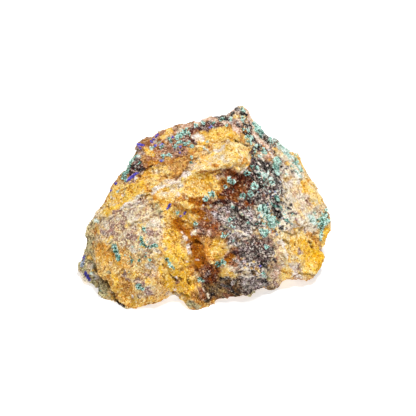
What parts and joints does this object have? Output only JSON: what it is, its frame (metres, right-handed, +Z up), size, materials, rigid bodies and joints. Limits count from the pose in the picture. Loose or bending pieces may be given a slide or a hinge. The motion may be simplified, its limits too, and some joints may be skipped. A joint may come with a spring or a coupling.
{
  "type": "azurite malachite specimen",
  "caption": "Hand specimen of iron-stained rock: ochre limonite and dark goethite with malachite crusts, green tufts and small azurite spots, resting on its broken underside.",
  "frame": {"origin": "centre of the bounding box at the plane that the stone rests on", "axes": "+X to the right across the display face, +Y away from the viewer into the stone, +Z up"},
  "size_m": [0.0604, 0.0414, 0.0372],
  "materials": {
    "ironstone": "matte",
    "malachite": "matte",
    "azurite": "satin"
  },
  "bodies": {
    "root": {"stone": "ironstone"}
  },
  "joints": []
}
